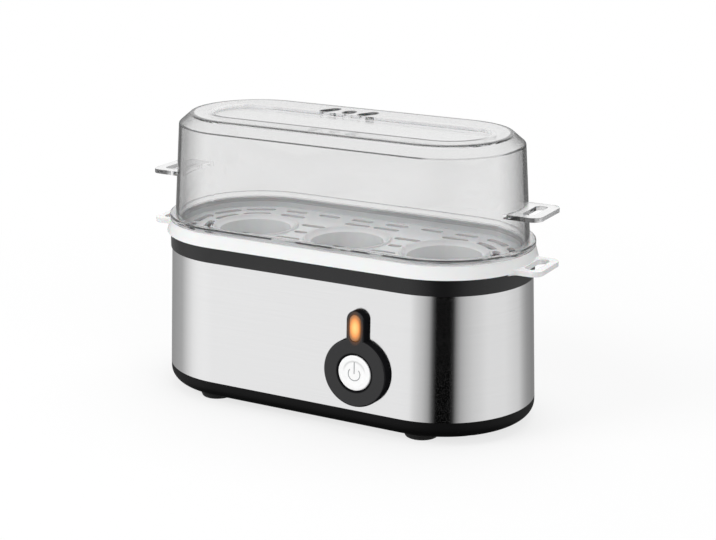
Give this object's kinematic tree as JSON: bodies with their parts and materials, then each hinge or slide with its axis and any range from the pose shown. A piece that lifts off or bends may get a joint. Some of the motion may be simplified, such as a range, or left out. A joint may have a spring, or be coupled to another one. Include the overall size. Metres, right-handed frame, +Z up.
{
  "type": "steam egg cooker",
  "caption": "Racetrack-shaped steam egg cooker: brushed steel body on a black base, white egg carrier with ears, clear lift-off lid with ears, round push button and amber lamp.",
  "frame": {"origin": "on the floor plane under the middle of the body", "axes": "+X along the body towards the ear beside the control panel, +Y from the panel side to the cord side, +Z up"},
  "size_m": [0.2204, 0.0996, 0.1434],
  "materials": {
    "black_plastic": "satin moulded",
    "black_gloss": "satin gloss moulded",
    "black_rubber": "matt moulded",
    "silicone": "moulded silicone",
    "brushed_steel": "horizontally brushed stainless",
    "zinc_steel": "zinc plated",
    "aluminium": "mill",
    "brass": "bright",
    "ceramic": "white ceramic",
    "white_gloss": "gloss moulded",
    "amber_lens": "clear amber moulded",
    "lamp_glass": "clear glass",
    "brown_wire": "silicone insulation",
    "blue_wire": "silicone insulation",
    "green_wire": "silicone insulation",
    "clear_lid": "clear smoke-tinted moulding"
  },
  "bodies": {
    "housing": {"base_shell": "black_plastic", "rubber_feet": "black_rubber", "base_screws": "zinc_steel", "cord_bush": "black_rubber", "steel_sleeve": "brushed_steel", "top_collar": "black_plastic", "pan_seal": "silicone", "water_pan": "brushed_steel", "clamp_bars": "zinc_steel", "pan_nuts": "zinc_steel", "earth_tag": "brass", "heat_spreader": "aluminium", "heating_tube": "aluminium", "heater_bushes": "ceramic", "thermostat": "black_plastic", "thermostat_plate": "zinc_steel", "thermostat_screws": "zinc_steel", "thermal_fuse": "aluminium", "fuse_clip": "zinc_steel", "terminal_block": "ceramic", "terminal_screws": "brass", "control_bezel": "black_gloss", "indicator_lens": "amber_lens", "button_spring": "zinc_steel", "switch_bracket": "zinc_steel", "bracket_screws": "zinc_steel", "switch_body": "black_plastic", "neon_lamp": "lamp_glass", "lamp_holder": "black_plastic", "live_wire": "brown_wire", "switched_wire": "brown_wire", "fuse_wire": "brown_wire", "heater_wire": "brown_wire", "neutral_wire": "blue_wire", "earth_wire": "green_wire"},
    "egg_carrier": {"egg_carrier": "white_gloss"},
    "lid": {"lid": "clear_lid"},
    "power_button": {"power_button": "white_gloss", "switch_plunger": "white_gloss"}
  },
  "joints": [
    {"name": "carrier_lift", "type": "slide", "parent": "housing", "child": "egg_carrier", "axis": [0, 0, 1], "range_m": [0, 0.06]},
    {"name": "lid_lift", "type": "slide", "parent": "egg_carrier", "child": "lid", "axis": [0, 0, 1], "range_m": [0, 0.08]},
    {"name": "button_press", "type": "slide", "parent": "housing", "child": "power_button", "axis": [0, 0.9994, -0.0345], "range_m": [0, 0.0025], "stiffness_N_per_m": 800, "springref_m": -0.002, "deforming": ["button_spring"]}
  ]
}
